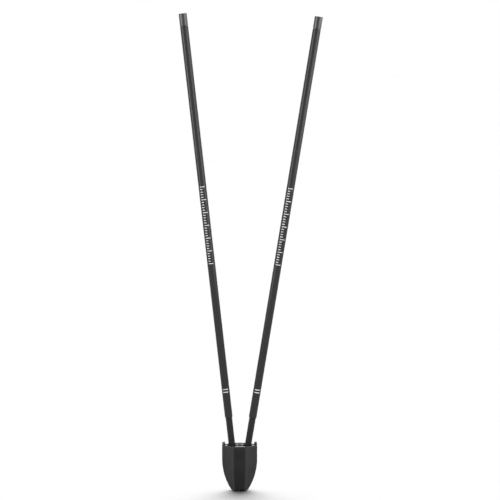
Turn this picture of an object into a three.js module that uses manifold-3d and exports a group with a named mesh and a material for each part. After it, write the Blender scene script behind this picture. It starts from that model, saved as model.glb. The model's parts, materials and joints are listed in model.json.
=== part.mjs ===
// A V-shaped pair of slim black rods, each hinged on its own pin in a small
// bullet-shaped holder, so that the V opens and closes and stays where it is put.
// Units are millimetres. The origin is the centre of the holder's flat nose end.
// +Z runs up the middle of the V, +X is to the right, and the front faces -Y.

import * as THREE from 'three';
import { mergeVertices } from 'three/addons/utils/BufferGeometryUtils.js';
import { LoftGeometry } from 'three/addons/geometries/LoftGeometry.js';
import Module from 'manifold-3d';

const wasm = await Module();
wasm.setup();

// Holder: an eight-sided bullet with flat front and back facets. Its width and depth
// follow from the arms and the hinge stack that it encloses.
const holderHeight = 48.5;
const facetHalfWidth = 5.75;
const sideEndHalfDepth = 2.2;
const taperStart = 34;
const taperArcRadius = 62;
const noseHalfDepth = 5.2;
const noseFacetHalfWidth = 4.6;
const noseEdgeRadius = 2.5;
const rimBevel = 0.5;
const holderWall = 1.3;
const facetCornerRadius = 0.6;
const sideCornerRadius = 1.3;
const pocketSideRoom = 0.75;

// Clearances.
const fitGap = 0.3;
const stackGap = 0.1;
const runningGap = 0.08;

// Hinges: a left and a right one, on front-to-back pins.
const pivotBelowRim = 16;
const leftRestAngle = 6.2;
const rightRestAngle = 9.1;
const openLimitAngle = 10.5;

// Rods.
const rodLength = 456.5;
const tubeRadius = 4;
const tubeWall = 0.8;
const tubeBevel = 0.45;
const armRadius = 3.4;
const armLength = 45;
const tenonLength = 32;
const eyeMargin = 0.1;
const eyeThickness = 4;
const bladeLength = 10;
const capLength = 12;
const capBevel = 0.5;
const capPlugLength = 14;

// Hinge stack on each pin.
const pinRadius = 1.5;
const pinHeadOverhang = 0.7;
const pinHeadThickness = 0.75;
const pinTail = 0.9;
const grooveDepth = 0.4;
const clipOverhang = 1.1;
const clipThickness = 0.5;
const clipMouth = 2.0;
const bushWall = 0.5;
const bushFlangeOverhang = 1.1;
const bushFlangeThickness = 0.9;
const frictionWasherOverhang = 1.8;
const frictionWasherThickness = 0.4;
const springWasherOverhang = 1.7;
const springWasherThickness = 0.2;
const springWasherHeight = 0.4;

// Hinge frame: two cheeks on a core shaped like an upside-down T.
const cheekThickness = 1.1;
const cheekSideRoom = 0.55;
const cheekAbovePivot = 8.5;
const cheekCorner = 3;
const webHalfWidth = 2.35;
const coreBaseHeight = 4;
const rivetFromEdge = 3;
const rivetRadius = 0.9;
const rivetHeadRadius = 1.5;
const rivetHeadThickness = 0.45;

// Top plate and centre screw.
const plateThickness = 1.6;
const plateRecess = 0.35;
const slotSideGap = 0.35;
const plateLand = 2.15;
const slotLand = 0.4;
const lugWidth = 3;
const lugRise = 3.1;
const lugHalfDepth = 1.7;
const lugOuterRadius = 1.4;
const lugInnerRadius = 0.5;
const screwRadius = 1.25;
const screwLength = 30;
const screwHeadRadius = 2.5;
const screwHeadHeight = 1.0;
const screwHoleGap = 0.2;
const hexAcrossFlats = 1.5;
const hexDepth = 0.6;
const insertRadius = 2.3;
const insertLength = 6;
const insertGroove = 0.3;
const boreTipRoom = 1.5;

// Facets round a circle.
const tubeSides = 32;
const smallSides = 16;
const cornerSteps = 3;
const noseSteps = 4;
const taperSteps = 9;

// Levels and places that follow from the sizes above.
const radians = Math.PI / 180;
const eyeRadius = armRadius + eyeMargin;
const pivotOffset = webHalfWidth + fitGap + eyeRadius;
const pivotHeight = holderHeight - pivotBelowRim;
const plateTop = holderHeight - plateRecess;
const plateBottom = plateTop - plateThickness;
const ledgeHeight = plateBottom - stackGap;
const cheekInner = eyeThickness / 2 + stackGap * 2 + bushFlangeThickness;
const cheekOuter = cheekInner + cheekThickness;
const coreBaseTop = pivotHeight - eyeRadius - fitGap;
const coreBottom = coreBaseTop - coreBaseHeight;
const pocketFloor = coreBottom - fitGap;
const boreRadius = pinRadius + runningGap;
const bushRadius = boreRadius + bushWall;
const armBoreRadius = bushRadius + stackGap;
const looseHoleRadius = pinRadius + stackGap;
const pinHeadRadius = pinRadius + pinHeadOverhang;
const clipRadius = pinRadius + clipOverhang;
const screwTip = plateTop + stackGap - screwLength;
const rivetHeight = coreBottom + coreBaseHeight / 2;

// The slot reaches from the arm standing upright to the arm at its open limit.
const slotInner = pivotOffset - armRadius - slotSideGap;
const slotOuter = pivotOffset + (plateTop - pivotHeight) * Math.tan(openLimitAngle * radians)
  + armRadius / Math.cos(openLimitAngle * radians) + slotSideGap;
const holderHalfWidth = slotOuter + plateLand + lugWidth + stackGap;
const pocketHalfWidth = slotOuter + pocketSideRoom;

// The slanted facets are steep enough for their inner faces to clear the pin heads, and
// for the plate between them to keep a land round the end of each slot.
const slotRadius = armRadius + slotSideGap;
const facetSlope = Math.max(
  slopeClearing(pivotOffset + pinHeadRadius, cheekOuter + stackGap + pinHeadThickness + fitGap,
    holderWall),
  slopeClearing(slotOuter - slotRadius, 0, holderWall + fitGap + slotRadius + slotLand)
);
const holderHalfDepth = sideEndHalfDepth + facetSlope * (holderHalfWidth - facetHalfWidth);
const cheekHalfWidth = facetReach(cheekOuter) - cheekSideRoom;
const rivetOffset = cheekHalfWidth - rivetFromEdge;

// The slope of a slanted facet that stays a distance outside the point (x, y) in plan.
function slopeClearing(x, y, distance) {
  const run = holderHalfWidth - x;
  const rise = y - sideEndHalfDepth;
  const square = run ** 2 - distance ** 2;
  const root = Math.sqrt((run * rise) ** 2 - square * (rise ** 2 - distance ** 2));
  return (run * rise + root) / square;
}

// How far out in X the slanted wall's inner face is at a depth y.
function facetReach(y) {
  const wallRise = holderWall * Math.sqrt(1 + facetSlope ** 2);
  return holderHalfWidth - (y - sideEndHalfDepth + wallRise) / facetSlope;
}

// ---- solids ----

// Turns a closed geometry into a solid that can be cut and joined.
function solid(geometry) {
  const bare = geometry.index ? geometry.toNonIndexed() : geometry.clone();
  for (const name of Object.keys(bare.attributes)) {
    if (name !== 'position') bare.deleteAttribute(name);
  }
  const merged = mergeVertices(bare, 1e-4);
  return new wasm.Manifold(new wasm.Mesh({
    numProp: 3,
    vertProperties: new Float32Array(merged.attributes.position.array),
    triVerts: new Uint32Array(merged.index.array)
  }));
}

// Turns a solid back into a geometry for a mesh.
function geometryOf(body) {
  const mesh = body.getMesh();
  const geometry = new THREE.BufferGeometry();
  geometry.setAttribute('position', new THREE.BufferAttribute(mesh.vertProperties, 3));
  geometry.setIndex(new THREE.BufferAttribute(mesh.triVerts, 1));
  geometry.computeVertexNormals();
  return geometry;
}

// A body of revolution about Z from (radius, height) pairs that close on themselves.
function turned(profile, sides) {
  const points = profile.map(([r, z]) => new THREE.Vector2(r, z));
  if (profile[0][0] > 0) points.push(points[0].clone());
  const lathe = new THREE.LatheGeometry(points, sides);
  lathe.rotateX(Math.PI / 2);
  return solid(lathe);
}

// A round bar along Z between two heights.
function bar(radius, low, high, sides = smallSides) {
  return turned([[0, low], [radius, low], [radius, high], [0, high]], sides);
}

// Lays a body built along Z down so that its +Z end points to the back, +Y.
function alongDepth(body) {
  return body.rotate([-90, 0, 0]);
}

function block(x0, x1, y0, y1, z0, z1) {
  const box = new THREE.BoxGeometry(x1 - x0, y1 - y0, z1 - z0);
  box.translate((x0 + x1) / 2, (y0 + y1) / 2, (z0 + z1) / 2);
  return solid(box);
}

// A flat outline given in X and Z, as thick as y0 to y1.
function upright(shape, y0, y1, curveSegments = 10) {
  const depth = y1 - y0;
  const extrusion = new THREE.ExtrudeGeometry(shape, { depth, bevelEnabled: false, curveSegments });
  extrusion.rotateX(Math.PI / 2);
  extrusion.translate(0, y1, 0);
  return solid(extrusion);
}

// A flat outline given in X and Y, between two heights.
function flat(shape, z0, z1, curveSegments = 12) {
  const depth = z1 - z0;
  const extrusion = new THREE.ExtrudeGeometry(shape, { depth, bevelEnabled: false, curveSegments });
  extrusion.translate(0, 0, z0);
  return solid(extrusion);
}

// ---- the holder's section ----

// Moves every edge of a convex outline inwards by the same distance.
function inset(points, distance) {
  const count = points.length;
  const edges = points.map((point, i) => {
    const along = points[(i + 1) % count].clone().sub(point).normalize();
    const inward = new THREE.Vector2(-along.y, along.x);
    return { along, start: point.clone().addScaledVector(inward, distance) };
  });
  return edges.map((edge, i) => {
    const before = edges[(i + count - 1) % count];
    const across = before.along.cross(edge.along);
    const reach = edge.start.clone().sub(before.start).cross(edge.along) / across;
    return before.start.clone().addScaledVector(before.along, reach);
  });
}

// Replaces each corner by an arc of its own radius, cornerSteps chords long.
function roundCorners(points, radii) {
  const count = points.length;
  return points.flatMap((corner, i) => {
    const toBefore = points[(i + count - 1) % count].clone().sub(corner).normalize();
    const toAfter = points[(i + 1) % count].clone().sub(corner).normalize();
    const halfAngle = Math.acos(toBefore.dot(toAfter)) / 2;
    const middle = toBefore.clone().add(toAfter).normalize();
    const centre = corner.clone().addScaledVector(middle, radii[i] / Math.sin(halfAngle));
    const first = corner.clone().addScaledVector(toBefore, radii[i] / Math.tan(halfAngle));
    const turn = (Math.PI - 2 * halfAngle) / cornerSteps;
    return Array.from({ length: cornerSteps + 1 }, (_, step) =>
      first.clone().rotateAround(centre, turn * step));
  });
}

// The eight-sided section at a height, drawn in by a distance all round.
function holderSection(height, distance) {
  const drop = Math.max(0, taperStart - height);
  const share = (drop / taperStart) ** 2;
  const sideDraw = taperArcRadius - Math.sqrt(taperArcRadius ** 2 - drop ** 2);
  const width = holderHalfWidth - sideDraw;
  const depth = holderHalfDepth - (holderHalfDepth - noseHalfDepth) * share;
  const facet = facetHalfWidth - (facetHalfWidth - noseFacetHalfWidth) * share;
  const end = sideEndHalfDepth;
  const corners = [[facet, -depth], [width, -end], [width, end], [facet, depth],
    [-facet, depth], [-width, end], [-width, -end], [-facet, -depth]];
  const drawn = inset(corners.map(([x, y]) => new THREE.Vector2(x, y)), distance);
  const facetRadius = facetCornerRadius;
  const endRadius = Math.min(sideCornerRadius, (end - distance) * 0.9);
  const radii = [facetRadius, endRadius, endRadius, facetRadius,
    facetRadius, endRadius, endRadius, facetRadius];
  return roundCorners(drawn, radii);
}

// The rim's outline drawn in by a distance, as a flat shape.
function rimOutline(distance) {
  return new THREE.Shape(holderSection(holderHeight, distance));
}

function holderOutside() {
  const levels = [];
  for (let i = 0; i <= noseSteps; i += 1) {
    const angle = (i / noseSteps) * Math.PI / 2;
    const draw = noseEdgeRadius * (1 - Math.sin(angle));
    levels.push([noseEdgeRadius * (1 - Math.cos(angle)), Math.min(draw, sideEndHalfDepth * 0.6)]);
  }
  for (let i = 1; i <= taperSteps; i += 1) {
    levels.push([noseEdgeRadius + (taperStart - noseEdgeRadius) * (i / taperSteps), 0]);
  }
  levels.push([holderHeight - rimBevel, 0]);
  levels.push([holderHeight, rimBevel]);
  const sections = levels.map(([height, draw]) =>
    holderSection(height, draw).map((point) => new THREE.Vector3(point.x, point.y, height)));
  return solid(new LoftGeometry(sections, { capStart: true, capEnd: true }));
}

function makeHolderShell() {
  const top = holderHeight + 1;
  const lugRoom = lugHalfDepth + fitGap;
  const pocket = flat(rimOutline(holderWall), pocketFloor, top)
    .intersect(block(-pocketHalfWidth, pocketHalfWidth, -holderHalfDepth, holderHalfDepth,
      pocketFloor, top));
  const plateSeat = flat(rimOutline(holderWall), ledgeHeight, top);
  const lugNotches = block(-holderHalfWidth - 1, holderHalfWidth + 1, -lugRoom, lugRoom,
    ledgeHeight, top);
  const insertFloor = pocketFloor - insertLength - fitGap;
  const insertBore = bar(insertRadius + stackGap, insertFloor, pocketFloor + 1);
  const tipBore = bar(screwRadius + fitGap, screwTip - boreTipRoom, insertFloor + 1);
  return holderOutside().subtract(pocket).subtract(plateSeat).subtract(lugNotches)
    .subtract(insertBore).subtract(tipBore);
}

// ---- top plate ----

function plateSlot(side) {
  const shape = new THREE.Shape();
  shape.absarc(slotInner + slotRadius, 0, slotRadius, Math.PI / 2, 1.5 * Math.PI);
  shape.absarc(slotOuter - slotRadius, 0, slotRadius, -Math.PI / 2, Math.PI / 2);
  const cutter = flat(shape, plateBottom - 1, plateTop + 1);
  return side > 0 ? cutter : cutter.rotate([0, 0, 180]);
}

// The upturned lug at one end of the plate, with the tongue that joins it.
function plateLug(side) {
  const outerFace = holderHalfWidth - stackGap;
  const innerFace = outerFace - lugWidth;
  const lugTop = holderHeight + lugRise;
  const shape = new THREE.Shape();
  shape.moveTo(innerFace - lugWidth, plateBottom);
  shape.lineTo(outerFace, plateBottom);
  shape.lineTo(outerFace, lugTop - lugOuterRadius);
  shape.absarc(outerFace - lugOuterRadius, lugTop - lugOuterRadius, lugOuterRadius, 0, Math.PI / 2);
  shape.lineTo(innerFace + lugInnerRadius, lugTop);
  shape.absarc(innerFace + lugInnerRadius, lugTop - lugInnerRadius, lugInnerRadius,
    Math.PI / 2, Math.PI);
  shape.lineTo(innerFace, plateTop);
  shape.lineTo(innerFace - lugWidth, plateTop);
  const lug = upright(shape, -lugHalfDepth, lugHalfDepth, 6);
  return side > 0 ? lug : lug.rotate([0, 0, 180]);
}

function makeTopPlate() {
  const sheet = flat(rimOutline(holderWall + fitGap), plateBottom, plateTop);
  const screwHole = bar(screwRadius + screwHoleGap, plateBottom - 1, plateTop + 1);
  return sheet.add(plateLug(1)).add(plateLug(-1)).subtract(plateSlot(1)).subtract(plateSlot(-1))
    .subtract(screwHole);
}

// ---- centre screw and its insert ----

function makeCentreScrew() {
  const seat = plateTop + stackGap;
  const dome = [];
  const domeSteps = 6;
  for (let i = 0; i <= domeSteps; i += 1) {
    const angle = (i / domeSteps) * Math.PI / 2;
    dome.push([screwHeadRadius * Math.cos(angle), seat + screwHeadHeight * Math.sin(angle)]);
  }
  dome[domeSteps][0] = 0;
  const tipChamfer = screwRadius / 3;
  const profile = [[0, screwTip], [screwRadius - tipChamfer, screwTip],
    [screwRadius, screwTip + tipChamfer], [screwRadius, seat], ...dome];
  const socketRadius = hexAcrossFlats / Math.sqrt(3);
  const socketFloor = seat + screwHeadHeight - hexDepth;
  const socket = bar(socketRadius, socketFloor, seat + screwHeadHeight + 1, 6);
  return turned(profile, smallSides).subtract(socket);
}

function makeThreadedInsert() {
  const top = pocketFloor - stackGap;
  const bottom = top - insertLength;
  const bore = screwRadius + runningGap;
  const grooveRadius = insertRadius - insertGroove;
  const third = insertLength / 3;
  return turned([[bore, bottom], [insertRadius, bottom], [insertRadius, bottom + third],
    [grooveRadius, bottom + third + insertGroove],
    [grooveRadius, top - third - insertGroove], [insertRadius, top - third],
    [insertRadius, top], [bore, top]], smallSides);
}

// ---- hinge frame ----

function makeCheek(side) {
  const top = pivotHeight + cheekAbovePivot;
  const shape = new THREE.Shape();
  shape.moveTo(-cheekHalfWidth, coreBottom);
  shape.lineTo(cheekHalfWidth, coreBottom);
  shape.lineTo(cheekHalfWidth, top - cheekCorner);
  shape.lineTo(cheekHalfWidth - cheekCorner, top);
  shape.lineTo(-cheekHalfWidth + cheekCorner, top);
  shape.lineTo(-cheekHalfWidth, top - cheekCorner);
  for (const x of [-pivotOffset, pivotOffset]) {
    shape.holes.push(new THREE.Path().absarc(x, pivotHeight, looseHoleRadius, 0, 2 * Math.PI));
  }
  for (const x of [-rivetOffset, rivetOffset]) {
    const hole = new THREE.Path().absarc(x, rivetHeight, rivetRadius + stackGap, 0, 2 * Math.PI);
    shape.holes.push(hole);
  }
  const faces = [cheekInner, cheekOuter].map((y) => y * side).sort((a, b) => a - b);
  return upright(shape, faces[0], faces[1]);
}

function makeHingeCore() {
  const halfDepth = cheekInner - stackGap;
  const base = block(-cheekHalfWidth, cheekHalfWidth, -halfDepth, halfDepth,
    coreBottom, coreBaseTop);
  const web = block(-webHalfWidth, webHalfWidth, -halfDepth, halfDepth,
    coreBottom, plateBottom - stackGap);
  const screwHole = bar(screwRadius + screwHoleGap, coreBottom - 1, plateBottom + 1);
  let core = base.add(web).subtract(screwHole);
  for (const x of [-rivetOffset, rivetOffset]) {
    const hole = alongDepth(bar(rivetRadius + stackGap, -halfDepth - 1, halfDepth + 1));
    core = core.subtract(hole.translate([x, 0, rivetHeight]));
  }
  return core;
}

function makeRivet(side) {
  const seat = cheekOuter + stackGap;
  const end = seat + rivetHeadThickness;
  const crown = rivetHeadRadius * 0.7;
  const profile = [[0, -end], [crown, -end], [rivetHeadRadius, -seat - rivetHeadThickness / 2],
    [rivetHeadRadius, -seat], [rivetRadius, -seat], [rivetRadius, seat], [rivetHeadRadius, seat],
    [rivetHeadRadius, seat + rivetHeadThickness / 2], [crown, end], [0, end]];
  return alongDepth(turned(profile, smallSides)).translate([side * rivetOffset, 0, rivetHeight]);
}

// ---- hinge stack, built about its pin's axis ----

function atPivot(body, side) {
  return alongDepth(body).translate([side * pivotOffset, 0, pivotHeight]);
}

function makePin(side) {
  const seat = cheekOuter + stackGap;
  const grooveRadius = pinRadius - grooveDepth;
  const grooveEnd = seat + clipThickness + stackGap;
  const profile = [[0, -seat - pinHeadThickness], [pinHeadRadius, -seat - pinHeadThickness],
    [pinHeadRadius, -seat], [pinRadius, -seat], [pinRadius, seat - stackGap],
    [grooveRadius, seat - stackGap], [grooveRadius, grooveEnd], [pinRadius, grooveEnd],
    [pinRadius, seat + pinTail - stackGap], [0, seat + pinTail - stackGap]];
  return atPivot(turned(profile, smallSides), side);
}

// An open spring clip in the pin's groove, its mouth pointing down.
function makePinClip(side) {
  const seat = cheekOuter + stackGap;
  const bore = pinRadius - grooveDepth + stackGap;
  const ring = turned([[bore, seat], [clipRadius, seat], [clipRadius, seat + clipThickness],
    [bore, seat + clipThickness]], smallSides);
  const mouth = block(-clipMouth / 2, clipMouth / 2, 0, clipRadius + 1, seat - 1,
    seat + clipThickness + 1);
  return atPivot(ring.subtract(mouth), side);
}

function makeBush(side) {
  const back = eyeThickness / 2;
  const front = -back - stackGap;
  const flangeRadius = bushRadius + bushFlangeOverhang;
  const flangeFront = front - bushFlangeThickness;
  return atPivot(turned([[boreRadius, flangeFront], [flangeRadius, flangeFront],
    [flangeRadius, front], [bushRadius, front], [bushRadius, back], [boreRadius, back]],
  smallSides), side);
}

function makeFrictionWasher(side) {
  const front = eyeThickness / 2 + stackGap;
  const back = front + frictionWasherThickness;
  const rim = pinRadius + frictionWasherOverhang;
  return atPivot(turned([[looseHoleRadius, front], [rim, front], [rim, back],
    [looseHoleRadius, back]], smallSides), side);
}

// A shallow cone that presses the friction washer against the arm's eye.
function makeSpringWasher(side) {
  const front = eyeThickness / 2 + stackGap * 2 + frictionWasherThickness;
  const rise = springWasherHeight - springWasherThickness;
  const rim = pinRadius + springWasherOverhang;
  return atPivot(turned([[looseHoleRadius, front + rise], [rim, front],
    [rim, front + springWasherThickness], [looseHoleRadius, front + springWasherHeight]],
  smallSides), side);
}

// ---- rods, built upright with the pivot at the origin ----

function makeArm() {
  const halfEye = eyeThickness / 2;
  const outline = new THREE.Shape();
  outline.moveTo(armRadius, 0);
  outline.lineTo(armRadius, bladeLength + 1);
  outline.lineTo(-armRadius, bladeLength + 1);
  outline.lineTo(-armRadius, 0);
  const blade = upright(outline, -halfEye, halfEye);
  const eye = alongDepth(bar(eyeRadius, -halfEye, halfEye));
  const bore = alongDepth(bar(armBoreRadius, -halfEye - 1, halfEye + 1));
  const tenonRadius = tubeRadius - tubeWall - fitGap;
  const rod = turned([[0, bladeLength], [armRadius, bladeLength], [armRadius, armLength],
    [tenonRadius, armLength], [tenonRadius, armLength + tenonLength],
    [0, armLength + tenonLength]], tubeSides);
  return blade.add(eye).add(rod).subtract(bore);
}

function makeTube() {
  const bottom = armLength + fitGap;
  const top = rodLength - capLength - fitGap;
  const bore = tubeRadius - tubeWall;
  return turned([[bore, bottom], [tubeRadius - tubeBevel, bottom],
    [tubeRadius, bottom + tubeBevel * 2], [tubeRadius, top], [bore, top]], tubeSides);
}

function makeEndCap() {
  const plugRadius = tubeRadius - tubeWall - fitGap;
  const shoulder = rodLength - capLength;
  return turned([[0, shoulder - capPlugLength], [plugRadius - capBevel, shoulder - capPlugLength],
    [plugRadius, shoulder - capPlugLength + capBevel], [plugRadius, shoulder],
    [tubeRadius, shoulder], [tubeRadius, rodLength - capBevel],
    [tubeRadius - capBevel, rodLength], [0, rodLength]], tubeSides);
}

// ---- finishes ----

const finishes = {
  holderBlack: { color: 0x2b2b2d, roughness: 0.55, metalness: 0 },
  plateGloss: { color: 0x131315, roughness: 0.15, metalness: 0 },
  rodBlack: { color: 0x1d1d1f, roughness: 0.35, metalness: 0.6 },
  capBlack: { color: 0x202022, roughness: 0.4, metalness: 0 },
  screwBlack: { color: 0x262628, roughness: 0.4, metalness: 0.8 },
  steel: { color: 0xb4b6ba, roughness: 0.3, metalness: 1 },
  springSteel: { color: 0x8c8f94, roughness: 0.35, metalness: 1 },
  brass: { color: 0xb9933f, roughness: 0.35, metalness: 1 },
  whitePolymer: { color: 0xe6e3da, roughness: 0.5, metalness: 0 },
  greyPolymer: { color: 0x6d7074, roughness: 0.5, metalness: 0 }
};

function piece(name, body, finish) {
  const mesh = new THREE.Mesh(geometryOf(body), new THREE.MeshStandardMaterial(finishes[finish]));
  mesh.name = name;
  return mesh;
}

// ---- assembly ----

const assembly = new THREE.Group();

assembly.add(piece('holder_shell', makeHolderShell(), 'holderBlack'));
assembly.add(piece('threaded_insert', makeThreadedInsert(), 'brass'));
assembly.add(piece('hinge_core', makeHingeCore(), 'greyPolymer'));
assembly.add(piece('front_cheek', makeCheek(-1), 'steel'));
assembly.add(piece('back_cheek', makeCheek(1), 'steel'));
assembly.add(piece('top_plate', makeTopPlate(), 'plateGloss'));
assembly.add(piece('centre_screw', makeCentreScrew(), 'screwBlack'));

for (const [name, side, restAngle] of [['left', -1, leftRestAngle], ['right', 1, rightRestAngle]]) {
  assembly.add(piece(`${name}_rivet`, makeRivet(side), 'steel'));
  assembly.add(piece(`${name}_pin`, makePin(side), 'steel'));
  assembly.add(piece(`${name}_pin_clip`, makePinClip(side), 'springSteel'));
  assembly.add(piece(`${name}_bush`, makeBush(side), 'whitePolymer'));
  assembly.add(piece(`${name}_friction_washer`, makeFrictionWasher(side), 'greyPolymer'));
  assembly.add(piece(`${name}_spring_washer`, makeSpringWasher(side), 'springSteel'));

  const rod = new THREE.Group();
  rod.position.set(side * pivotOffset, 0, pivotHeight);
  rod.rotation.y = side * restAngle * radians;
  rod.add(piece(`${name}_arm`, makeArm(), 'rodBlack'));
  rod.add(piece(`${name}_tube`, makeTube(), 'rodBlack'));
  rod.add(piece(`${name}_end_cap`, makeEndCap(), 'capBlack'));
  assembly.add(rod);
}

export default assembly;
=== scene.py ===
import json
import math

import bmesh
import bpy
import numpy as np
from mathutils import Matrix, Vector


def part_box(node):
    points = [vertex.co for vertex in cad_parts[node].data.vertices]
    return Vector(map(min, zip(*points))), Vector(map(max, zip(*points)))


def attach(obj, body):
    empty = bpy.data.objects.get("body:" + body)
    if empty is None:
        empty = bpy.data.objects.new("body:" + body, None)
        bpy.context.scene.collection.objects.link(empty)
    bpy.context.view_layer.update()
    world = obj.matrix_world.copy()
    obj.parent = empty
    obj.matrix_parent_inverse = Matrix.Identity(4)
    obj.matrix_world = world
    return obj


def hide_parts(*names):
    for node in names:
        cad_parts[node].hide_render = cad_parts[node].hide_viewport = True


# A V of two slim black rods, each hinged in a small bullet-shaped holder.
# Sizes in the dictionaries are millimetres, and meshes are written in metres.
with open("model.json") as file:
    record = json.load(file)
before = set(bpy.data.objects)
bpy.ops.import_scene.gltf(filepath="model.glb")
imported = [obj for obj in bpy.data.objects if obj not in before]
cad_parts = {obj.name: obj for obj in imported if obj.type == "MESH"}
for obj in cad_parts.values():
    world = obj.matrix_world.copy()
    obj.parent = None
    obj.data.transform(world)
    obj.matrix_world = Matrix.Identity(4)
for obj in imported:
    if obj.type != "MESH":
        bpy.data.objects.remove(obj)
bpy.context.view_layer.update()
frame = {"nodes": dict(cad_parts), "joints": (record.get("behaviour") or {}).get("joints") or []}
scene = bpy.context.scene
perMillimetre = 0.001
fullTurn = 2 * math.pi
joints = {joint["name"]: joint for joint in frame["joints"]}


cameraSetup = {
    "lens": 93.6,
    "sensorWidth": 36,
    "place": (0.0107, -1.2964, 0.4444),
    "tilt": 81.54,  # degrees up from straight down
    "nearest": 0.05,
    "farthest": 60,
}


def makeCamera(setup):
    data = bpy.data.cameras.new("camera")
    data.lens = setup["lens"]
    data.sensor_width = setup["sensorWidth"]
    data.clip_start = setup["nearest"]
    data.clip_end = setup["farthest"]
    camera = bpy.data.objects.new("camera", data)
    camera.location = setup["place"]
    camera.rotation_euler = (math.radians(setup["tilt"]), 0, 0)
    scene.collection.objects.link(camera)
    scene.camera = camera


# Soft boxes: place, aim, width and height in metres, power in watts. The overhead light is far
# off and wide, and comes from behind, so that it whitens the floor evenly.
lightSetup = {
    "boxRight": {"place": (0.79, -0.36, 0.62), "aim": (0, 0, 0.4), "size": (1.1, 0.9), "power": 27},
    "boxLeft": {"place": (-0.76, -0.42, 0.62), "aim": (0, 0, 0.4), "size": (0.5, 0.9), "power": 20},
}
overhead = {"strength": 2.9, "angle": 80, "tilt": (-38, 0, 0)}


def makeLights(setup):
    for name, light in setup.items():
        data = bpy.data.lights.new(name, "AREA")
        data.shape = "RECTANGLE"
        data.size, data.size_y = light["size"]
        data.energy = light["power"]
        lamp = bpy.data.objects.new(name, data)
        lamp.location = light["place"]
        towards = Vector(light["aim"]) - Vector(light["place"])
        lamp.rotation_euler = towards.to_track_quat("-Z", "Y").to_euler()
        scene.collection.objects.link(lamp)


def makeOverhead(setup):
    data = bpy.data.lights.new("overhead", "SUN")
    data.energy = setup["strength"]
    data.angle = math.radians(setup["angle"])
    lamp = bpy.data.objects.new("overhead", data)
    lamp.rotation_euler = [math.radians(turn) for turn in setup["tilt"]]
    scene.collection.objects.link(lamp)


# The room is seen white all round, and lights the object more from behind than from the front.
# Its strength goes smoothly from front to back as the direction's Y goes from turnFrom to turnTo.
worldSetup = {"seen": 1.0, "front": 0.12, "back": 0.8, "turnFrom": -0.2, "turnTo": 0.7}


def makeWorld(setup):
    world = bpy.data.worlds.new("studio")
    scene.world = world
    world.use_nodes = True
    tree = world.node_tree
    lit = tree.nodes["Background"]
    seen = tree.nodes.new("ShaderNodeBackground")
    seen.inputs["Color"].default_value = (setup["seen"],) * 3 + (1,)
    way = tree.nodes.new("ShaderNodeTexCoord")
    axes = tree.nodes.new("ShaderNodeSeparateXYZ")
    tree.links.new(way.outputs["Generated"], axes.inputs[0])
    ramp = tree.nodes.new("ShaderNodeMapRange")
    ramp.interpolation_type = "SMOOTHSTEP"
    limits = (setup["turnFrom"], setup["turnTo"], setup["front"], setup["back"])
    for index, value in enumerate(limits, 1):
        ramp.inputs[index].default_value = value
    tree.links.new(axes.outputs["Y"], ramp.inputs[0])
    tree.links.new(ramp.outputs[0], lit.inputs["Strength"])
    lit.inputs["Color"].default_value = (1, 1, 1, 1)
    path = tree.nodes.new("ShaderNodeLightPath")
    choose = tree.nodes.new("ShaderNodeMixShader")
    tree.links.new(path.outputs["Is Camera Ray"], choose.inputs[0])
    tree.links.new(lit.outputs[0], choose.inputs[1])
    tree.links.new(seen.outputs[0], choose.inputs[2])
    tree.links.new(choose.outputs[0], tree.nodes["World Output"].inputs[0])
    scene.view_settings.view_transform = "Standard"


makeCamera(cameraSetup)
makeLights(lightSetup)
makeOverhead(overhead)
makeWorld(worldSetup)
print("camera, lights and world are in place")


class Wire:
    # A shader socket that takes part in sums: each operator adds a Math node.
    def __init__(self, finish, socket):
        self.finish = finish
        self.socket = socket

    def maths(self, operation, *values):
        return self.finish.node("ShaderNodeMath", {"operation": operation}, dict(enumerate(values)))

    def __add__(self, other):
        return self.maths("ADD", self, other)

    __radd__ = __add__

    def __sub__(self, other):
        return self.maths("SUBTRACT", self, other)

    def __rsub__(self, other):
        return self.maths("SUBTRACT", other, self)

    def __mul__(self, other):
        return self.maths("MULTIPLY", self, other)

    __rmul__ = __mul__

    def above(self, low, high):
        # 0 below low, 1 above high, smooth between
        settings = {"interpolation_type": "SMOOTHSTEP"}
        return self.finish.node("ShaderNodeMapRange", settings, {0: self, 1: low, 2: high})


cloudFade = (0.3, 0.7)  # the noise values over which a cloud of tone fades in
tarnishFade = (0.35, 0.7)


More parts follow.
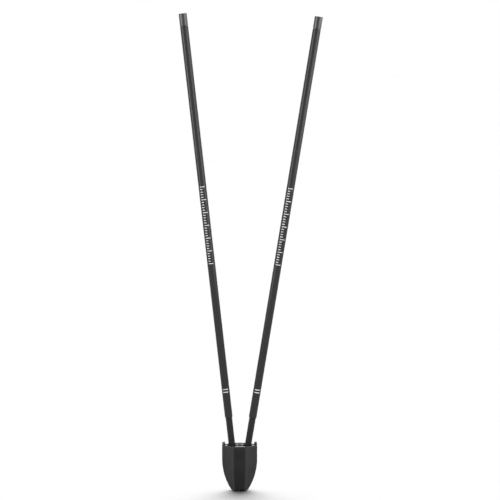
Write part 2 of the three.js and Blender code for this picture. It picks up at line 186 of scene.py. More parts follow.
class Finish:
    # One procedural material.
    def __init__(self, name):
        self.material = bpy.data.materials.new(name)
        self.material.use_nodes = True
        self.tree = self.material.node_tree
        self.surface = self.tree.nodes["Principled BSDF"]

    def node(self, kind, settings=None, inputs=None, output=0):
        made = self.tree.nodes.new(kind)
        for key, value in (settings or {}).items():
            setattr(made, key, value)
        for key, value in (inputs or {}).items():
            self.put(made.inputs[key], value)
        return Wire(self, made.outputs[output])

    def put(self, socket, value):
        if isinstance(value, Wire):
            self.tree.links.new(value.socket, socket)
        elif isinstance(value, tuple) and len(value) == 3 and socket.type == "RGBA":
            socket.default_value = (*value, 1)
        else:
            socket.default_value = value

    def place(self):
        return self.node("ShaderNodeTexCoord", output="Object")

    def attribute(self, name, output="Vector"):
        return self.node("ShaderNodeAttribute", {"attribute_name": name}, output=output)

    def stretched(self, vector, scale):
        inputs = {0: vector, 1: scale}
        return self.node("ShaderNodeVectorMath", {"operation": "MULTIPLY"}, inputs)

    def noise(self, vector, scale, detail=2, roughness=0.5, distortion=0):
        inputs = {"Vector": vector, "Scale": scale, "Detail": detail,
                  "Roughness": roughness, "Distortion": distortion}
        return self.node("ShaderNodeTexNoise", inputs=inputs)

    def cells(self, vector, scale, feature="F1"):
        inputs = {"Vector": vector, "Scale": scale}
        return self.node("ShaderNodeTexVoronoi", {"feature": feature}, inputs)

    def mixed(self, factor, first, second):
        inputs = {0: factor, 6: first, 7: second}
        return self.node("ShaderNodeMix", {"data_type": "RGBA"}, inputs, output=2)

    def bump(self, height, distance):
        # the distance is in metres
        inputs = {"Height": height, "Distance": distance, "Strength": 1}
        return self.node("ShaderNodeBump", inputs=inputs)

    def finished(self, values):
        for key, value in values.items():
            self.put(self.surface.inputs[key], value)
        return self.material


def holderCoat(look):
    # A matte black coat with a fine grain, a little paler and smoother on the sloping sides, which
    # is a painted sheen, and along the rim's top.
    finish = Finish("holderCoat")
    place = finish.place()
    grain = finish.noise(place, look["grainScale"], 3, 0.6)
    pits = finish.cells(place, look["pitScale"])
    cloud = finish.noise(place, look["cloudScale"], 3)
    patches = finish.noise(place, look["wearSheenScale"], 4).above(*cloudFade)
    # This mask paints a paler sheen on the sloping sides beside the front and back, and a paler rim
    # top.
    wearAndSheen = finish.attribute("edge", "Fac") * (patches * (1 - look["wearSheenLeast"]) + look["wearSheenLeast"])
    tone = finish.mixed(cloud.above(*cloudFade), look["dark"], look["light"])
    colour = finish.mixed(wearAndSheen * look["wearSheenAmount"], tone, look["wearAndSheen"])
    rough = look["roughness"] + cloud * 0.06 + grain * 0.08 - wearAndSheen * look["rubPolish"]
    height = grain * 0.7 + pits * 0.5 - wearAndSheen * 0.3
    return finish.finished({
        "Base Color": colour, "Roughness": rough, "Specular IOR Level": look["gloss"],
        "Normal": finish.bump(height, look["grainHeight"])})


def plateGloss(look):
    # Polished black with hairline scratches and faint smudges, and a pale painted highlight on the
    # lugs' outer edges.
    finish = Finish("plateGloss")
    place = finish.place()
    smudge = finish.noise(place, look["smudgeScale"], 3).above(0.45, 0.7)
    lengthwise = finish.noise(finish.stretched(place, look["lengthwise"]), 1, 2, 0.6)
    crosswise = finish.noise(finish.stretched(place, look["crosswise"]), 1, 2, 0.6)
    scratch = lengthwise.above(0.62, 0.7) * 0.6 + crosswise.above(0.64, 0.72) * 0.5
    rough = look["roughness"] + smudge * 0.1 + scratch * 0.2
    patches = finish.noise(place, look["highlightScale"], 3).above(0.1, 0.6)
    # This mask paints a pale highlight on the lugs' outer rounding.
    wearAndHighlight = finish.attribute("edge", "Fac") * patches
    black = finish.mixed(scratch * 0.4, look["colour"], look["scratched"])
    colour = finish.mixed(wearAndHighlight, black, look["wearAndHighlight"])
    return finish.finished({
        "Base Color": colour, "Roughness": rough, "Specular IOR Level": look["gloss"],
        "Coat Weight": look["coat"], "Coat Roughness": look["coatRoughness"],
        "Normal": finish.bump(1 - scratch, look["scratchDepth"])})


def rodMetal(name, look):
    # Black anodised tube or bar: fine lines drawn lengthwise, cloudy dye and a few rub marks.
    finish = Finish(name)
    local = finish.attribute("local")
    fineLines = finish.noise(finish.stretched(local, look["lines"]), 1, 3, 0.65)
    wideLines = finish.noise(finish.stretched(local, look["bands"]), 1, 2)
    cloud = finish.noise(local, look["cloudScale"], 3)
    rubs = finish.noise(finish.stretched(local, look["rubs"]), 1, 4, 0.6).above(0.63, 0.75)
    edge = finish.attribute("edge", "Fac")
    tone = finish.mixed(fineLines.above(0.3, 0.75), look["dark"], look["light"])
    colour = finish.mixed(rubs * 0.25 + edge * 0.55, tone, look["wearAndSheen"])
    rough = (look["roughness"] + fineLines * look["lineRoughness"] + cloud * 0.05
             + wideLines * 0.04 - rubs * 0.04)
    height = fineLines * 0.7 + wideLines * 0.5
    return finish.finished({
        "Base Color": colour, "Roughness": rough, "Metallic": look["metallic"],
        "Specular IOR Level": look["gloss"], "Normal": finish.bump(height, look["lineHeight"])})


fleckShare = 0.6  # the flecks' scale over the grain's


def satinPlastic(name, look):
    # Moulded plastic with a fine grain and soft changes of tone. Flecks stand for filler.
    finish = Finish(name)
    place = finish.attribute("local") if look.get("local") else finish.place()
    grain = finish.noise(place, look["grainScale"], 3, 0.6)
    cloud = finish.noise(place, look["cloudScale"], 3)
    around = finish.cells(place, look["grainScale"] * fleckShare).above(0.12, 0.3)
    tone = finish.mixed(cloud.above(*cloudFade), look["dark"], look["light"])
    colour = finish.mixed((1 - around) * look["fleckAmount"], tone, look["fleck"])
    rough = look["roughness"] + grain * 0.1 + cloud * 0.05
    return finish.finished({
        "Base Color": colour, "Roughness": rough, "Specular IOR Level": look["gloss"],
        "Normal": finish.bump(grain, look["grainHeight"])})


def turnedMetal(name, look):
    # Metal turned or ground about its own axis: fine rings, with cloudy tarnish over them.
    finish = Finish(name)
    local = finish.attribute("local")
    rings = finish.noise(finish.stretched(local, look["rings"]), 1, 3, 0.6)
    cloud = finish.noise(local, look["cloudScale"], 4, 0.6)
    tone = finish.mixed(cloud.above(*tarnishFade), look["dark"], look["light"])
    colour = finish.mixed(rings.above(0.45, 0.8) * 0.5, tone, look["ring"])
    rough = look["roughness"] + rings * 0.12 + cloud * 0.1
    return finish.finished({
        "Base Color": colour, "Roughness": rough, "Metallic": look["metallic"],
        "Specular IOR Level": look["gloss"], "Normal": finish.bump(rings, look["ringHeight"])})


def stampedSteel(look):
    # Stamped and tumbled sheet: small dents, short random scratches and an uneven sheen.
    finish = Finish("frameSteel")
    place = finish.place()
    dents = finish.cells(place, look["dentScale"], "SMOOTH_F1")
    scratches = finish.noise(finish.stretched(place, look["scratches"]), 1, 3, 0.7, 0.4)
    cloud = finish.noise(place, look["cloudScale"], 4)
    colour = finish.mixed(cloud.above(*tarnishFade), look["dark"], look["light"])
    rough = look["roughness"] + scratches * 0.12 + cloud * 0.1
    height = dents * 0.6 + scratches.above(0.55, 0.75) * 0.5
    return finish.finished({
        "Base Color": colour, "Roughness": rough, "Metallic": look["metallic"],
        "Normal": finish.bump(height, look["dentHeight"])})


def printedInk(look):
    # White pad-printed ink, thin in places so that the black shows through a little.
    finish = Finish("printedInk")
    local = finish.attribute("local")
    thin = finish.noise(local, look["wearScale"], 4, 0.65).above(0.56, 0.74)
    speck = finish.noise(local, look["speckScale"], 2).above(0.66, 0.74)
    fade = thin * look["thinFade"] + speck * look["speckFade"] + look["evenFade"]
    colour = finish.mixed(fade, look["ink"], look["wearAndHighlight"])
    rough = look["roughness"] + thin * 0.15
    return finish.finished({
        "Base Color": colour, "Roughness": rough,
        "Normal": finish.bump(1 - thin, look["inkHeight"])})


def paleFloor(setup):
    # A matte white floor with no gloss, faintly mottled.
    finish = Finish("paleFloor")
    place = finish.place()
    rough = setup["roughness"] + finish.noise(place, setup["grainScale"], 3) * 0.1
    mottle = finish.noise(place, setup["mottleScale"], 3).above(*cloudFade)
    tone = finish.mixed(mottle, setup["pale"], setup["mottled"])
    return finish.finished({"Base Color": tone, "Roughness": rough, "Specular IOR Level": 0.0})


# Scales are in cells per metre, and bump heights in metres.
holderLook = {
    "dark": (0.009, 0.009, 0.0095), "light": (0.0125, 0.0125, 0.013), "wearAndSheen": (0.06, 0.06, 0.062),
    "roughness": 0.42, "gloss": 0.1, "grainScale": 3400, "pitScale": 1700, "cloudScale": 70,
    "wearSheenScale": 420, "wearSheenAmount": 0.34, "wearSheenLeast": 0.7, "rubPolish": 0.12, "grainHeight": 0.00003,
}
plateLook = {
    "colour": (0.008, 0.008, 0.009), "scratched": (0.05, 0.05, 0.052), "wearAndHighlight": (0.13, 0.13, 0.133),
    "roughness": 0.16, "gloss": 0.22, "coat": 0.05, "coatRoughness": 0.12, "smudgeScale": 160,
    "lengthwise": (90, 2600, 90), "crosswise": (2400, 260, 90), "scratchDepth": 0.000004,
    "highlightScale": 700,
}
tubeLook = {
    "dark": (0.0022, 0.0022, 0.0024), "light": (0.0055, 0.0055, 0.0058),
    "wearAndSheen": (0.05, 0.05, 0.052), "rubs": (420, 420, 150),
    "roughness": 0.15, "lineRoughness": 0.09, "metallic": 0.04, "gloss": 0.08,
    "lines": (4200, 4200, 22), "bands": (1100, 1100, 7), "cloudScale": 90, "lineHeight": 0.000006,
}
armLook = {
    "dark": (0.008, 0.008, 0.0085), "light": (0.012, 0.012, 0.0125),
    "wearAndSheen": (0.05, 0.05, 0.052), "rubs": (420, 420, 150),
    "roughness": 0.3, "lineRoughness": 0.08, "metallic": 0.1, "gloss": 0.12,
    "lines": (3600, 3600, 60), "bands": (900, 900, 16), "cloudScale": 140, "lineHeight": 0.000003,
}
capLook = {
    "dark": (0.011, 0.011, 0.0115), "light": (0.016, 0.016, 0.0165),
    "fleck": (0.024, 0.024, 0.0245), "fleckAmount": 0.3,
    "roughness": 0.3, "gloss": 0.3, "grainScale": 3800, "cloudScale": 180,
    "grainHeight": 0.000012, "local": True,
}
coreLook = {
    "dark": (0.15, 0.16, 0.17), "light": (0.2, 0.21, 0.22), "fleck": (0.3, 0.3, 0.31),
    "fleckAmount": 0.35, "roughness": 0.42, "gloss": 0.5, "grainScale": 2600, "cloudScale": 130,
    "grainHeight": 0.00002,
}
bushLook = {
    "dark": (0.72, 0.7, 0.63), "light": (0.8, 0.78, 0.72), "fleck": (0.68, 0.65, 0.58),
    "fleckAmount": 0.25, "roughness": 0.36, "gloss": 0.5, "grainScale": 4200, "cloudScale": 240,
    "grainHeight": 0.000008, "local": True,
}
washerLook = {
    "dark": (0.16, 0.17, 0.18), "light": (0.22, 0.23, 0.24), "fleck": (0.42, 0.41, 0.38),
    "fleckAmount": 0.6, "roughness": 0.55, "gloss": 0.4, "grainScale": 3600, "cloudScale": 260,
    "grainHeight": 0.000014, "local": True,
}
screwLook = {
    "dark": (0.01, 0.01, 0.011), "light": (0.018, 0.018, 0.019), "ring": (0.03, 0.03, 0.031),
    "roughness": 0.34, "metallic": 0.05, "gloss": 0.12, "rings": (240, 240, 5200),
    "cloudScale": 900, "ringHeight": 0.000006,
}
pinLook = {
    "dark": (0.52, 0.53, 0.55), "light": (0.63, 0.64, 0.66), "ring": (0.72, 0.73, 0.74),
    "roughness": 0.2, "metallic": 1.0, "gloss": 0.5, "rings": (120, 120, 6500),
    "cloudScale": 600, "ringHeight": 0.000003,
}
springLook = {
    "dark": (0.3, 0.28, 0.27), "light": (0.42, 0.41, 0.42), "ring": (0.5, 0.5, 0.52),
    "roughness": 0.28, "metallic": 1.0, "gloss": 0.5, "rings": (1500, 1500, 1500),
    "cloudScale": 500, "ringHeight": 0.000003,
}
brassLook = {
    "dark": (0.5, 0.34, 0.12), "light": (0.66, 0.48, 0.2), "ring": (0.74, 0.56, 0.27),
    "roughness": 0.24, "metallic": 1.0, "gloss": 0.5, "rings": (160, 160, 5200),
    "cloudScale": 420, "ringHeight": 0.000004,
}
steelLook = {
    "dark": (0.46, 0.47, 0.49), "light": (0.6, 0.61, 0.63), "roughness": 0.26, "metallic": 1.0,
    "scratches": (1900, 1900, 260), "dentScale": 900, "cloudScale": 160, "dentHeight": 0.000014,
}
inkLook = {
    "ink": (0.48, 0.48, 0.47), "wearAndHighlight": (0.12, 0.12, 0.12), "roughness": 0.5,
    "wearScale": 1300, "speckScale": 3600, "thinFade": 0.45, "speckFade": 0.3, "evenFade": 0.15,
    "inkHeight": 0.000006,
}

finishes = {
    "holder_black": holderCoat(holderLook),
    "plate_gloss": plateGloss(plateLook),
    "tube_black": rodMetal("tubeBlack", tubeLook),
    "arm_black": rodMetal("armBlack", armLook),
    "cap_plastic": satinPlastic("capPlastic", capLook),
    "core_polymer": satinPlastic("corePolymer", coreLook),
    "bush_polymer": satinPlastic("bushPolymer", bushLook),
    "washer_polymer": satinPlastic("washerPolymer", washerLook),
    "screw_black": turnedMetal("screwBlack", screwLook),
    "pin_steel": turnedMetal("pinSteel", pinLook),
    "spring_steel": turnedMetal("springSteel", springLook),
    "insert_brass": turnedMetal("insertBrass", brassLook),
    "frame_steel": stampedSteel(steelLook),
}
ink = printedInk(inkLook)
print("materials:", len(finishes) + 1)


def gridFaces(rows, columns, closeColumns=True, closeRows=False):
    # Quad (i, j) joins row i to row i + 1 and column j to column j + 1, wrapping where closed.
    i = np.arange(rows if closeRows else rows - 1)[:, None]
    j = np.arange(columns if closeColumns else columns - 1)[None, :]
    nextRow = (i + 1) % rows
    nextColumn = (j + 1) % columns
    corners = [i * columns + j, i * columns + nextColumn,
               nextRow * columns + nextColumn, nextRow * columns + j]
    return np.stack(np.broadcast_arrays(*corners), -1).reshape(-1, 4)


mergeDistance = 2e-7  # metres
thinnest = 1e-7


def newPiece(name, points, faces, caps=()):
    # A mesh from points in millimetres. Doubles merge, so seams and poles close.
    mesh = bpy.data.meshes.new(name)
    flat = np.asarray(points, float).reshape(-1, 3) * perMillimetre
    mesh.from_pydata(flat.tolist(), [], faces.tolist() + [list(cap) for cap in caps])
    shape = bmesh.new()
    shape.from_mesh(mesh)
    bmesh.ops.remove_doubles(shape, verts=shape.verts, dist=mergeDistance)
    bmesh.ops.dissolve_degenerate(shape, edges=shape.edges, dist=thinnest)
    bmesh.ops.recalc_face_normals(shape, faces=shape.faces)
    shape.to_mesh(mesh)
    shape.free()
    piece = bpy.data.objects.new(name, mesh)
    scene.collection.objects.link(piece)
    return piece


def combine(piece, tool, operation):
    # Cuts the tool from the piece, or joins it on, and throws the tool away.
    modifier = piece.modifiers.new(operation, "BOOLEAN")
    modifier.operation = operation
    modifier.solver = "MANIFOLD"
    modifier.object = tool
    result = bpy.data.meshes.new_from_object(
        piece.evaluated_get(bpy.context.evaluated_depsgraph_get()))
    piece.modifiers.remove(modifier)
    old = piece.data
    piece.data = result
    bpy.data.meshes.remove(old)
    bpy.data.objects.remove(tool)
    result.name = piece.name


def positions(piece):
    flat = np.zeros(len(piece.data.vertices) * 3, np.float32)
    piece.data.vertices.foreach_get("co", flat)
    return flat.reshape(-1, 3).astype(float)


def setAttribute(piece, name, kind, values):
    field = "vector" if kind == "FLOAT_VECTOR" else "value"
    attribute = piece.data.attributes.new(name, kind, "POINT")
    attribute.data.foreach_set(field, np.asarray(values, np.float32).ravel())


def dress(piece, material, place, sharpAngle):
    # Smooth shading with sharp edges kept, and the material. The "local" attribute holds each
    # point's place in the piece's own frame, for patterns that follow it.
    points = positions(piece)
    local = points if place is None else place.inverse(points)
    setAttribute(piece, "local", "FLOAT_VECTOR", local)
    piece.data.shade_smooth()
    piece.data.set_sharp_from_angle(angle=math.radians(sharpAngle))
    piece.data.materials.clear()
    piece.data.materials.append(material)
    return local


def finishPiece(piece, node, body, slotName, place=None, edge=None, sharpAngle=32):
    # Dresses a piece, puts it on its CAD body and hides the node it stands for. The "edge"
    # attribute, from 0 to 1, is wear on the rods, a painted sheen on the holder's sloping sides
    # with a paler rim top, and a painted highlight on the plate's lugs.
    local = dress(piece, finishes[slotName], place, sharpAngle)
    setAttribute(piece, "edge", "FLOAT", np.zeros(len(local)) if edge is None else edge(local))
    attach(piece, body)
    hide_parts(node)


class Place:
    # Turns and moves points from a piece's own frame to the row frame, and back.
    def __init__(self, turn, origin):
        self.turn = np.asarray(turn, float)  # its rows are the piece's own axes
        self.origin = np.asarray(origin, float)  # metres

    def forward(self, points):
        # millimetres in, millimetres out
        return np.asarray(points) @ self.turn + self.origin / perMillimetre

    def inverse(self, points):
        # metres in, metres out
        return (points - self.origin) @ self.turn.T


sideShare = 0.45  # the part of a side that one corner's rounding may take


def softened(profile, radius, steps=4):
    # Each corner c between neighbours a and b becomes the curve
    # (1 - t)^2 p + 2 t (1 - t) c + t^2 q, with p and q at the radius from c towards a and b.
    corners = np.asarray(profile, float)
    before = np.roll(corners, 1, 0) - corners
    after = np.roll(corners, -1, 0) - corners
    lengths = [np.maximum(np.linalg.norm(side, axis=1, keepdims=True), 1e-9)
               for side in (before, after)]
    reach = np.minimum(np.asarray(radius, float).reshape(-1, 1) * np.ones((len(corners), 1)),
                       sideShare * np.minimum(*lengths))
    start = corners + before / lengths[0] * reach
    end = corners + after / lengths[1] * reach
    t = np.linspace(0, 1, steps + 1)[None, :, None]
    curve = ((1 - t) ** 2 * start[:, None] + 2 * t * (1 - t) * corners[:, None]
             + t ** 2 * end[:, None])
    return curve.reshape(-1, 2)


def turnedPoints(profile, sides):
    # (r, z) goes to (r cos u, r sin u, z) for each angle u.
    r, z = np.asarray(profile, float).T
    u = np.linspace(0, fullTurn, sides, endpoint=False)
    return np.stack([r[:, None] * np.cos(u), r[:, None] * np.sin(u),
                     z[:, None] * np.ones(sides)], -1)


def turnedRing(name, profile, place, soft, sides=96):
    # A body of revolution with a hole through it: the profile closes on itself.
    rounded = softened(profile, soft)
    points = place.forward(turnedPoints(rounded, sides))
    return newPiece(name, points, gridFaces(len(rounded), sides, True, True))


def turnedSolid(name, profile, place, soft, sides=96):
    # A body of revolution closed at both ends: the profile starts and ends on the axis.
    rounded = softened(profile, soft)[2:-2]
    rounded[0, 0] = rounded[-1, 0] = 0
    points = place.forward(turnedPoints(rounded, sides))
    return newPiece(name, points, gridFaces(len(rounded), sides))


def rodPlace(side):
    # The rod's own frame: its pivot is the origin and +Z runs up the rod.
    joint = joints["left_rod_pivot" if side < 0 else "right_rod_pivot"]
    angle = math.radians(-joint["range_deg"][0]) * side
    cosine, sine = math.cos(angle), math.sin(angle)
    return Place([[cosine, 0, -sine], [0, 1, 0], [sine, 0, cosine]], joint["pos_m"])


def pinPlace(origin):
    # A frame whose +Z points to the back, for what is turned about a front-to-back axis.
    return Place([[1, 0, 0], [0, 0, -1], [0, 1, 0]], origin)


upright = Place(np.eye(3), (0, 0, 0))
rodSides = {"left": -1, "right": 1}


holder = {
    "height": 48.5, "halfWidth": 18.108, "halfDepth": 8.008, "facetHalfWidth": 5.75,
    "endHalfDepth": 2.2, "taperStart": 34, "taperArc": 62, "noseHalfDepth": 5.2,
    "noseFacetHalfWidth": 4.6, "noseRadius": 2.5, "rimRadius": 0.5, "innerRimRadius": 0.2,
    "wall": 1.3, "facetCorner": 0.6, "sideCorner": 1.3, "ledge": 46.45,
    "pocketHalfWidth": 13.61, "pocketFloor": 24.4, "pocketFillet": 1.0,
    "insertBore": 2.4, "insertFloor": 18.1, "tipBore": 1.55, "tipFloor": 16.75,
    "notchHalfDepth": 2.0, "notchCorner": 0.35,
    "notchOver": 2, "notchLength": 3,
    "sheenStart": 0.4, "sheenFade": 4.5, "sheenLeft": 0.45, "rimPaleness": 0.5, "rimPaleReach": 0.5,
    "cornerShare": 0.48, "cornerSteps": 8, "edgeSteps": 10, "taperSteps": 36, "straightRows": 5,
    "noseSteps": 8, "rimSteps": 5, "innerRimSteps": 3, "filletSteps": 4, "sharpAngle": 40,
}


def holderCorners(height, distance):
    # The eight corners at each height, every edge moved in by that row's distance. With d the
    # drop below the taper's start, the half width is w - R + sqrt(R^2 - d^2), and the depth and
    # the front's width narrow as d^2. Two moved edges meet where their cross products say.
    h = holder
    drop = np.maximum(0, h["taperStart"] - height)
    share = (drop / h["taperStart"]) ** 2
    width = h["halfWidth"] - h["taperArc"] + np.sqrt(h["taperArc"] ** 2 - drop ** 2)
    depth = h["halfDepth"] - (h["halfDepth"] - h["noseHalfDepth"]) * share
    facet = h["facetHalfWidth"] - (h["facetHalfWidth"] - h["noseFacetHalfWidth"]) * share
    end = np.full_like(width, h["endHalfDepth"])
    x = np.stack([facet, width, width, facet, -facet, -width, -width, -facet], -1)
    y = np.stack([-depth, -end, end, depth, depth, end, -end, -depth], -1)
    corners = np.stack([x, y], -1)
    along = np.roll(corners, -1, 1) - corners
    along /= np.linalg.norm(along, axis=-1, keepdims=True)
    inward = np.stack([-along[..., 1], along[..., 0]], -1)
    start = corners + inward * distance[:, None, None]
    alongBefore = np.roll(along, 1, 1)
    startBefore = np.roll(start, 1, 1)
    gap = start - startBefore
    cross = alongBefore[..., 0] * along[..., 1] - alongBefore[..., 1] * along[..., 0]
    reach = (gap[..., 0] * along[..., 1] - gap[..., 1] * along[..., 0]) / cross
    return startBefore + alongBefore * reach[..., None]


def holderSection(height, distance):
    # Each corner becomes an arc of its own radius r, and each edge is a row of even steps. An
    # arc's centre lies r / sin(half) along the bisector, with half of the corner's angle.
    h = holder
    corners = holderCorners(height, distance)
    toBefore = np.roll(corners, 1, 1) - corners
    toAfter = np.roll(corners, -1, 1) - corners
    beforeLength = np.linalg.norm(toBefore, axis=-1, keepdims=True)
    afterLength = np.linalg.norm(toAfter, axis=-1, keepdims=True)
    toBefore /= beforeLength
    toAfter /= afterLength
    half = np.arccos(np.sum(toBefore * toAfter, -1)) / 2
    radius = np.array([h["facetCorner"], h["sideCorner"]])[[0, 1, 1, 0, 0, 1, 1, 0]]
    room = h["cornerShare"] * np.minimum(beforeLength, afterLength)[..., 0] * np.tan(half)
    radius = np.minimum(radius, room)
    middle = toBefore + toAfter
    middle /= np.linalg.norm(middle, axis=-1, keepdims=True)
    centre = corners + middle * (radius / np.sin(half))[..., None]
    first = corners + toBefore * (radius / np.tan(half))[..., None] - centre
    angle = (math.pi - 2 * half)[..., None] * np.linspace(0, 1, h["cornerSteps"] + 1)
    arcX = first[..., :1] * np.cos(angle) - first[..., 1:] * np.sin(angle)
    arcY = first[..., :1] * np.sin(angle) + first[..., 1:] * np.cos(angle)
    arc = np.stack([arcX, arcY], -1) + centre[..., None, :]
    share = np.linspace(0, 1, h["edgeSteps"] + 1)[1:-1, None]
    edge = arc[:, :, -1:] * (1 - share) + np.roll(arc, -1, 1)[:, :, :1] * share
    outline = np.concatenate([arc, edge], 2)
    return outline.reshape(len(corners), -1, 2)


def roundedTurn(radius, steps):
    # The two legs of a quarter circle, from 0 to the radius: (1 - cos a, sin a) times it.
    a = np.linspace(0, math.pi / 2, steps + 1)
    return radius * (1 - np.cos(a)), radius * np.sin(a)


def holderRows():
    # Height and inward distance of each row, from the nose up the outside and over the rim.
    h = holder
    low, out = roundedTurn(h["noseRadius"], h["noseSteps"])
    taper = np.linspace(h["noseRadius"], h["taperStart"], h["taperSteps"] + 1)[1:]
    drawn, up = roundedTurn(h["rimRadius"], h["rimSteps"])
    rimStart = h["height"] - h["rimRadius"]
    innerDrawn, innerUp = roundedTurn(h["innerRimRadius"], h["innerRimSteps"])
    innerStart = h["height"] - h["innerRimRadius"]
    straight = np.linspace(h["taperStart"], rimStart, h["straightRows"])[1:-1]
    heights = np.concatenate([low, taper, straight, rimStart + up,
                              innerStart + innerUp[::-1], [h["ledge"]]])
    distances = np.concatenate([h["noseRadius"] - out, np.zeros(len(taper) + len(straight)), drawn,
                                h["wall"] - innerDrawn[::-1], [h["wall"]]])
    return heights, distances


def ringOf(outline, radius):
    # Moves an outline's points straight towards the middle, onto a circle.
    return outline / np.linalg.norm(outline, axis=-1, keepdims=True) * radius


def makeHolder():
    # One skin: up the outside, over the rim, down to the ledge and into the pocket, then the
    # bores for the insert and the screw's tip. A notch for each lug is cut through the ends.
    h = holder
    heights, distances = holderRows()
    outside = holderSection(heights, distances)
    levelled = heights[:, None, None] * np.ones((1, outside.shape[1], 1))
    outside = np.concatenate([outside, levelled], -1)
    top = np.array([h["height"]])
    seat = holderSection(top, np.array([h["wall"]]))[0]
    pocket = seat.copy()
    pocket[:, 0] = np.clip(pocket[:, 0], -h["pocketHalfWidth"], h["pocketHalfWidth"])
    inward, drop = roundedTurn(h["pocketFillet"], h["filletSteps"])
    length = np.linalg.norm(pocket, axis=-1, keepdims=True)
    levels = [(pocket, h["ledge"])]
    levels += [(pocket * (1 - i / length), h["pocketFloor"] + h["pocketFillet"] - d)
               for i, d in zip(inward, drop)]
    levels += [(ringOf(pocket, h["insertBore"]), h["pocketFloor"]),
               (ringOf(pocket, h["insertBore"]), h["insertFloor"]),
               (ringOf(pocket, h["tipBore"]), h["insertFloor"]),
               (ringOf(pocket, h["tipBore"]), h["tipFloor"]), (pocket * 0, h["tipFloor"])]
    inside = np.stack([np.column_stack([flat, np.full(len(flat), z)]) for flat, z in levels])
    # the ledge row follows the seat's outline at the rim
    outside[-1, :, :2] = seat
    pole = np.zeros((1, outside.shape[1], 3))
    points = np.concatenate([pole, outside, inside])
    piece = newPiece("holderShell", points, gridFaces(*points.shape[:2]))
    half, over = h["notchHalfDepth"], h["height"] + h["notchOver"]
    notch = [[-half, over], [-half, h["ledge"]], [half, h["ledge"]], [half, over]]
    outline = softened(notch, [0, h["notchCorner"], h["notchCorner"], 0])
    reach = np.array([h["halfWidth"] - h["notchLength"], h["halfWidth"] + h["notchOver"]])
    for side in (-1, 1):
        ends = reach * side
        slab = np.stack([np.column_stack([np.full(len(outline), x), outline]) for x in ends])
        count = len(outline)
        tool = newPiece("notch", slab, gridFaces(2, count), [range(count), range(count, 2 * count)])
        combine(piece, tool, "DIFFERENCE")

    def wearAndSheen(local):
        # A painted sheen on the sloping sides: from 1 beside the flat front and back, falling as
        # exp(-distance / fade) to the share left at the ends. The rim's top is paler too.
        spot = local / perMillimetre
        corners = holderCorners(np.clip(spot[:, 2], 0, h["height"]), np.zeros(len(spot)))
        past = np.abs(spot[:, 0]) - corners[:, 0, 0]
        sloping = np.clip(past / h["sheenStart"], 0, 1)
        held = h["sheenLeft"] + (1 - h["sheenLeft"]) * np.exp(-np.maximum(past, 0) / h["sheenFade"])
        rim = np.exp(-((h["height"] - spot[:, 2]) / h["rimPaleReach"]) ** 2)
        return np.maximum(sloping * held, h["rimPaleness"] * rim)

    finishPiece(piece, "holder_shell", "holder", "holder_black", edge=wearAndSheen,
                sharpAngle=h["sharpAngle"])


makeHolder()
print("holder is made")


plate = {
    "top": 48.15, "thickness": 1.6, "inset": 1.6, "edgeRadius": 0.25, "slotInner": 2.4,
    "slotOuter": 12.86, "slotRadius": 3.75, "slotBevel": 0.3, "screwHole": 1.45,
    "lugInner": 15.008, "lugOuter": 18.008, "lugTop": 51.6, "lugHalfDepth": 1.7,
    "lugOuterRadius": 1.4, "lugInnerRadius": 0.5, "lugEdgeRadius": 0.3, "lugFillet": 0.4,
    "lugSteps": 8, "tongue": 3, "tongueRadius": 0.35, "tongueLift": 0.05, "tongueSink": 0.1,
    "slotSteps": 24, "cutUnder": 1, "cutOver": 0.5, "holeUnder": 3, "holeOver": 1, "holeSides": 64,
    "easeSteps": 4, "highlightWidth": 0.9, "highlightFade": 0.6, "highlightFoot": 0.4, "highlightRise": 0.5,
    "sharpAngle": 35,
}


def prismRows(outlines, heights):
    # Stacks flat outlines at their heights, with a flat cap on the first and the last.
    count = outlines.shape[1]
    z = np.asarray(heights, float)[:, None, None] * np.ones((1, count, 1))
    points = np.concatenate([outlines, z], -1)
    last = (len(heights) - 1) * count
    return points, gridFaces(len(heights), count), [range(count), range(last, last + count)]


def slotCutter(side):
    # A stadium through the plate, (c + r cos a, r sin a) with c the middle of either end, that
    # flares at the top so that the slot's edge is eased.
    p = plate
    half = np.linspace(math.pi / 2, 1.5 * math.pi, p["slotSteps"] + 1)
    centres = np.repeat([p["slotInner"] + p["slotRadius"], p["slotOuter"] - p["slotRadius"]],
                        len(half))
    angles = np.concatenate([half, half + math.pi])
    inward, up = roundedTurn(p["slotBevel"], p["easeSteps"])
    grow = np.concatenate([[0], inward, [p["slotBevel"] + p["cutOver"]]])
    heights = np.concatenate([[p["top"] - p["thickness"] - p["cutUnder"]],
                              p["top"] - p["slotBevel"] + up, [p["top"] + p["cutOver"]]])
    radius = p["slotRadius"] + grow[:, None]
    outline = np.stack([centres + radius * np.cos(angles), radius * np.sin(angles)], -1)
    return newPiece("slotCutter", *prismRows(outline * np.array([side, 1]), heights))


